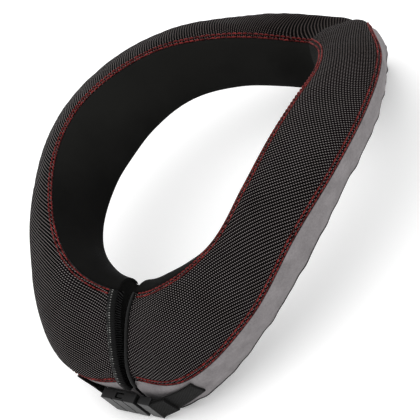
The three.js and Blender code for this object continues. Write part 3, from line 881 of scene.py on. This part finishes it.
def front_run(side, length):
    """Line and outward direction of the front section, from the neck seam over the rim and down the wall.
    The direction is evened out over a few millimetres so that it turns the corner at the rim."""
    top = face_width(TOP, FRONT)
    wall = face_width(WALL, FRONT)
    fine = np.linspace(-TRIM_SPARE, top + TAPE_TAIL + TRIM_SPARE, 400)
    on_top = face_line(TOP, FRONT, np.clip(fine, 0, top) / top, TOP_FULLNESS)
    on_top = on_top + np.minimum(fine, 0)[:, None] * unit(on_top[-1] - on_top[0])
    on_wall = face_line(WALL, FRONT, np.clip(fine - top, 0, wall) / wall, WALL_FULLNESS)
    line = np.where((fine < top)[:, None], on_top, on_wall)
    stands = flare(side * HALF_TURN, fine - top)
    line = line + stands[:, None] * outward(seam(WALL, FRONT), seam(BASE, FRONT))
    direction = np.gradient(line, axis=0)
    direction = np.stack((-direction[:, 1], direction[:, 0]), axis=1)
    even = np.ones(CORNER_EVEN) / CORNER_EVEN
    normal = unit(np.stack([np.convolve(direction[:, k], even, "same") for k in (0, 1)], axis=1))
    at = [np.interp(length, fine, part[:, k]) for part in (line, normal) for k in (0, 1)]
    return np.stack(at[:2], axis=-1), np.stack(at[2:], axis=-1)


def edge_trim(side, profile, relief, tail, steps):
    """Trim along one edge of the slit. The profile is (distance into the limb, height over the cover) and
    the relief raises its points along their own outward direction."""
    length = np.linspace(0, face_width(TOP, FRONT) + tail, steps)
    line, normal = front_run(side, length)
    nose = unit(np.gradient(profile, axis=0) @ np.array([[0.0, 1.0], [-1.0, 0.0]]))
    shape = profile[None] + relief(length[:, None], np.arange(len(profile))[None])[..., None] * nose[None]
    points = line[:, None] + shape[..., 1:] * normal[:, None]
    placed = place(np.float64(side * HALF_TURN), points, shape[..., 0])
    return placed if side < 0 else placed[:, ::-1]


def half_round(start, end, rise, steps):
    """Half of an ellipse that stands on the cover from start to end."""
    turn = np.linspace(0, np.pi, steps)
    inwards = (start + end) / 2 + (start - end) / 2 * np.cos(turn)
    return np.stack((inwards, GAP + rise * np.sin(turn)), axis=1)


tape_edge = -GAP - TAPE_FOLD
down = np.linspace(GAP, -TAPE_WRAP, TAPE_SIDE + 1)[1:]
tape_profile = np.concatenate((
    half_round(TAPE_WIDTH, tape_edge, TAPE_RISE, TAPE_DOME),
    np.stack((np.full(TAPE_SIDE, tape_edge), down), axis=1),
    np.stack((np.full(TAPE_SIDE, -GAP), down[::-1]), axis=1),
    np.array([[0.5 * TAPE_WIDTH, 0.6 * GAP]]),
))


def tape_ribs(length, column_number):
    """Herringbone ribs: a wave along the tape, set back on either side of the middle of the dome."""
    off_middle = np.abs(column_number / (TAPE_DOME - 1) - 0.5) * 2
    wave = np.cos(2 * np.pi * (length / RIB_PITCH - RIB_SETBACK * off_middle))
    return np.where(column_number < TAPE_DOME + TAPE_SIDE, RIB_HEIGHT * wave, 0)


def piping_finish():
    """Shiny black satin with a fine grain."""
    made = Finish("piping", Specular_IOR_Level=0.16)
    grain = made.noise(made.object_place(), 900.0, 2.0)
    made.colour(grain, (0.004, 0.004, 0.004, 1), (0.010, 0.010, 0.010, 1))
    made.vary("Roughness", grain, 0.22, 0.38)
    made.bump(grain, 0.04 * MM)
    return made.material


def tape_finish():
    """Black ribbed tape. On every rib, a short raised float with a painted light grey highlight shows in
    each of two columns along the tape.
    """
    made = Finish("binding_tape", Roughness=0.35)
    u, v = made.uv()
    rib = made.put("MapRange", {0: made.math("COSINE", made.math("MULTIPLY", u, 2 * math.pi)), 1: 0.3})
    column_wave = made.math("COSINE", made.math("MULTIPLY", v, 2 * math.pi * TAPE_COLUMNS))
    outer_half = made.put("MapRange", {0: v, 1: 0.62, 2: 0.5})
    columns = made.math("MULTIPLY", made.put("MapRange", {0: column_wave, 1: 0.0}), outer_half)
    floats = made.math("MULTIPLY", rib, columns)
    patchy = made.put("MapRange", {0: made.noise(made.object_place(), 260.0), 1: 0.42, 2: 0.6})
    # painted highlight: light grey colour on the floats stands in for the glint of the lamps
    painted_tape_glint = made.math("MULTIPLY", floats, patchy)
    made.colour(painted_tape_glint, (0.0015, 0.0015, 0.0015, 1), (0.55, 0.55, 0.52, 1))
    made.vary("Specular IOR Level", painted_tape_glint, 0.08, 0.6)
    made.bump(floats, 0.1 * MM)
    return made.material


tape_points = edge_trim(-1, tape_profile, tape_ribs, TAPE_TAIL, TAPE_STEPS)
tape_run = np.linspace(0, face_width(TOP, FRONT) + TAPE_TAIL, TAPE_STEPS)[:, None] / RIB_PITCH
tape_share = np.arange(len(tape_profile))[None] / (TAPE_DOME - 1)
rib_number = tape_run - RIB_SETBACK * np.abs(2 * tape_share - 1)
tape_uv = np.stack(np.broadcast_arrays(rib_number, tape_share), axis=-1)
tape = make_tube("slit_binding", tape_points, tape_finish(), tape_uv)
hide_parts("edge_binding_left")


def no_ribs(length, column_number):
    """The piping is smooth, so its relief is nought everywhere."""
    return 0 * length * column_number


piping_profile = half_round(PIPING, 0, PIPING, 17)
piping_points = edge_trim(1, piping_profile, no_ribs, PIPING_TAIL, PIPING_STEPS)
piping = make_tube("slit_piping", piping_points, piping_finish())
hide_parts("edge_piping_right")

# Strap
# Two lengths of black polyester webbing, sewn to the outer wall under the rim, meet at the buckle in
# front of the slit. The right one runs through the buckle and is folded back on itself.
STRAP_WIDTH = 15 * MM
STRAP_THICK = 1.4 * MM
STRAP_SEWN_ANGLE = {1: 23, -1: 18}  # directions of the sewn ends, right and left
STRAP_DROP_AT_END = 1.5 * MM
STRAP_DROP_AT_BUCKLE = 9.5 * MM
STRAP_BLUNT = 0.16  # powers of the rounding at the strap's edges, across it and through it
STRAP_ROUND = 0.5
LAYER_GAP = 0.1 * MM
BUCKLE_X = -1 * MM
BUCKLE_LENGTH = 38 * MM
BUCKLE_THICK = 6 * MM
BUCKLE_LIFT = 1.2 * MM
FOLD_FROM = 0.62  # share of the right strap's run where its folded end lies
STRAP_SQUARE = 12  # power of the run by which its end is brought square to the buckle
STRAP_SIDES = 28
STRAP_STEPS = 60
FOLD_STEPS = 30
WEBBING_WAVES = (1.3 * MM, 1.8 * MM)  # of its floats, along and across


def wall_line(angle, drop, lift):
    """Section point on the outer wall, a distance below the rim seam and lifted off the suede."""
    angle, drop, lift = np.broadcast_arrays(angle, drop, lift)
    rim, hem = seam(WALL, angle), seam(BASE, angle)
    t = drop / np.linalg.norm(hem - rim, axis=-1)
    out = (4 * WALL_CROWN * t * (1 - t) + lift)[..., None] * outward(rim, hem)
    return rim + t[..., None] * (hem - rim) + out


buckle_drop = STRAP_DROP_AT_BUCKLE + STRAP_WIDTH / 2
seat_line = wall_line(0.0, buckle_drop, BUCKLE_LIFT + BUCKLE_THICK / 2)
buckle_swing = math.asin(BUCKLE_X / wall_line(0.0, buckle_drop, 0.0)[0])
buckle_along = np.array([math.cos(buckle_swing), math.sin(buckle_swing), 0.0])
buckle_seat = np.array([
    seat_line[0] * math.sin(buckle_swing),
    NECK_AXIS_Y - seat_line[0] * math.cos(buckle_swing),
    seat_line[1],
])


def strap_points(side, start, layer, steps):
    """Webbing from its sewn end to the buckle as rings of a flat section with round edges. Its direction
    and drop run evenly along it, its lift with the square of the run and the rim, and it ends square."""
    end = buckle_seat + side * (BUCKLE_LENGTH / 2 + GAP) * buckle_along
    end_radius = np.hypot(end[0], end[1] - NECK_AXIS_Y)
    end_turn = np.arctan2(side * end[0], NECK_AXIS_Y - end[1]) - end_swing(side, end_radius)
    end_angle = np.degrees(end_turn)
    reach = end_radius - wall_line(end_angle, buckle_drop, 0.0)[0]
    t = np.linspace(start, 1, steps)[:, None]
    turn = np.linspace(0, 2 * np.pi, STRAP_SIDES, endpoint=False)[None]
    width = 0.5 + 0.5 * np.sign(np.cos(turn)) * np.abs(np.cos(turn)) ** STRAP_BLUNT
    thick = 0.5 + 0.5 * np.sign(np.sin(turn)) * np.abs(np.sin(turn)) ** STRAP_ROUND
    angle = STRAP_SEWN_ANGLE[side] + t * (end_angle - STRAP_SEWN_ANGLE[side])
    sewn_drop = STRAP_DROP_AT_END + hang(side * (HALF_TURN - STRAP_SEWN_ANGLE[side]))
    drop = sewn_drop + t * (STRAP_DROP_AT_BUCKLE - sewn_drop)
    lift = GAP + t ** 2 * (reach - STRAP_THICK / 2 - GAP) + layer * (STRAP_THICK + LAYER_GAP)
    below = drop + STRAP_WIDTH * width - hang(side * (HALF_TURN - angle))
    lift = lift + (1 - t ** 2) * flare(side * (HALF_TURN - angle), below)
    line = wall_line(angle, drop + STRAP_WIDTH * width, lift + STRAP_THICK * thick)
    points = place(side * (HALF_TURN - angle), line)
    short = side * (BUCKLE_LENGTH / 2 + GAP) - (points[-1] - buckle_seat) @ buckle_along
    points += (t ** STRAP_SQUARE * short)[..., None] * buckle_along
    run = np.cumsum(np.append(0, np.linalg.norm(np.diff(points[:, 0], axis=0), axis=1)))
    uv = np.stack(np.broadcast_arrays(run[:, None], STRAP_WIDTH * width), axis=-1)
    return (points[:, ::-1], uv[:, ::-1]) if side > 0 else (points, uv)


def webbing_finish():
    """Woven webbing: raised and sunk floats by turns, the product of a sine along it and one across, with
    painted shade darkening the sunk floats.
    """
    made = Finish("webbing", Specular_IOR_Level=0.06)
    u, v = made.uv()
    across = made.math("SINE", made.math("MULTIPLY", u, 2 * math.pi / WEBBING_WAVES[0]))
    ends = made.math("SINE", made.math("MULTIPLY", v, 2 * math.pi / WEBBING_WAVES[1]))
    height = made.math("MULTIPLY_ADD", made.math("MULTIPLY", across, ends), 0.5, 0.5)
    # painted shade: the sunk floats are darker than the raised ones
    made.colour(height, (0.002, 0.002, 0.002, 1), (0.010, 0.0097, 0.0095, 1))
    made.vary("Roughness", height, 0.8, 0.5)
    made.bump(height, 0.25 * MM)
    return made.material


webbing = webbing_finish()
for side, name in ((1, "right"), (-1, "left")):
    strap, strap_uv = strap_points(side, 0.0, 0, STRAP_STEPS)
    faces = tube_faces(*strap.shape[:2])
    points, uv = strap.reshape(-1, 3), strap_uv.reshape(-1, 2)
    if side > 0:
        fold, fold_uv = strap_points(side, FOLD_FROM, 1, FOLD_STEPS)
        faces = faces + [[corner + len(points) for corner in face] for face in tube_faces(*fold.shape[:2])]
        points = np.concatenate((points, fold.reshape(-1, 3)))
        uv = np.concatenate((uv, fold_uv.reshape(-1, 2)))
    piece = make_piece("webbing_" + name, points, faces, webbing, np.ascontiguousarray(uv), sharp=60)
    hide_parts("strap_" + name)

# Buckle
# A side-release buckle of black acetal: a socket with two grooves across its face, and a base with two
# sprung prongs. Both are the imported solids, with their moulded edges rounded off.
EDGE_ROUND = 0.6 * MM


def plastic_finish():
    """Satin black moulded plastic with a fine spark-eroded texture."""
    made = Finish("buckle_plastic", Specular_IOR_Level=0.22)
    grain = made.noise(made.object_place(), 2500.0, 2.0)
    made.colour(grain, (0.005, 0.005, 0.005, 1), (0.010, 0.010, 0.0105, 1))
    made.vary("Roughness", grain, 0.32, 0.5)
    made.bump(grain, 0.03 * MM)
    return made.material


plastic = plastic_finish()
for name in ("buckle_socket", "buckle_prongs"):
    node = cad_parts[name]
    node.data.materials.clear()
    node.data.materials.append(plastic)
    joined = node.modifiers.new("joined", "WELD")
    joined.merge_threshold = 0.001 * MM
    rounded = node.modifiers.new("rounded", "BEVEL")
    rounded.width = EDGE_ROUND
    rounded.segments = 3
    rounded.limit_method = "ANGLE"
    rounded.angle_limit = math.radians(40)
    rounded.use_clamp_overlap = True

# Floor, light and camera
# A plain pale floor, faintly glowing, under large soft lights. The camera looks down on the right front
# of the collar, rolled so that the collar's back points to the upper right of the picture.
FLOOR_HALF = 6.0
CAMERA_AZIMUTH = math.radians(61.1)
CAMERA_ELEVATION = math.radians(36.05)
CAMERA_ROLL = math.radians(38.42)
CAMERA_DISTANCE = 2.1006
PIXELS = 420
PIXELS_PER_METRE = 1793.0  # at the aim distance
AIM_RIGHT = -11.92 * MM  # from the neck axis, 32 mm up, along the picture's own axes
AIM_UP = -3.64 * MM
AIM_HEIGHT = 32 * MM
SENSOR = 36.0
LIGHT_AIM = Vector((0, 0, 0.05))  # the middle of the collar

floor_finish = Finish("pale_floor", Roughness=0.9, Specular_IOR_Level=0.1, Emission_Strength=0.22)
floor_finish.shader.inputs["Emission Color"].default_value = (1, 1, 1, 1)
floor_tone = floor_finish.noise(floor_finish.object_place(), 3.0)
floor_finish.colour(floor_tone, (0.93, 0.93, 0.93, 1), (0.96, 0.96, 0.96, 1))
floor_mesh = bpy.data.meshes.new("floor")
floor_corners = FLOOR_HALF * np.array([(-1, -1, 0), (1, -1, 0), (1, 1, 0), (-1, 1, 0)])
floor_mesh.from_pydata(floor_corners, [], [(0, 1, 2, 3)])
floor_mesh.materials.append(floor_finish.material)
floor = bpy.data.objects.new("floor", floor_mesh)
bpy.context.scene.collection.objects.link(floor)

world = bpy.data.worlds.new("studio")
world.use_nodes = True
world.node_tree.nodes["Background"].inputs["Color"].default_value = (1, 1, 1, 1)
world.node_tree.nodes["Background"].inputs["Strength"].default_value = 0.95
bpy.context.scene.world = world


def soft_light(name, place_at, size, power):
    """Square soft light that faces the collar."""
    data = bpy.data.lights.new(name, "AREA")
    data.shape = "SQUARE"
    data.size = size
    data.energy = power
    light = bpy.data.objects.new(name, data)
    light.location = place_at
    light.rotation_euler = (LIGHT_AIM - Vector(place_at)).to_track_quat("-Z", "Y").to_euler()
    bpy.context.scene.collection.objects.link(light)


soft_light("overhead", (0.5, -0.2, 1.9), 2.2, 14)
soft_light("left", (-1.5, 0.9, 1.2), 1.2, 5)

azimuth, elevation, roll = CAMERA_AZIMUTH, CAMERA_ELEVATION, CAMERA_ROLL
back = np.array([
    math.sin(azimuth) * math.cos(elevation), -math.cos(azimuth) * math.cos(elevation), math.sin(elevation),
])
level = np.array([math.cos(azimuth), math.sin(azimuth), 0.0])
upright = np.cross(back, level)
right = math.cos(roll) * level - math.sin(roll) * upright
up = math.sin(roll) * level + math.cos(roll) * upright
aim = np.array([0.0, NECK_AXIS_Y, AIM_HEIGHT]) + AIM_RIGHT * right + AIM_UP * up
camera_data = bpy.data.cameras.new("camera")
camera_data.sensor_width = SENSOR
camera_data.lens = SENSOR * CAMERA_DISTANCE * PIXELS_PER_METRE / PIXELS
camera = bpy.data.objects.new("camera", camera_data)
camera.matrix_world = Matrix(np.column_stack((right, up, back, aim + CAMERA_DISTANCE * back)).tolist()
                             + [[0, 0, 0, 1]])
bpy.context.scene.collection.objects.link(camera)
bpy.context.scene.camera = camera
bpy.context.scene.view_settings.view_transform = "Standard"
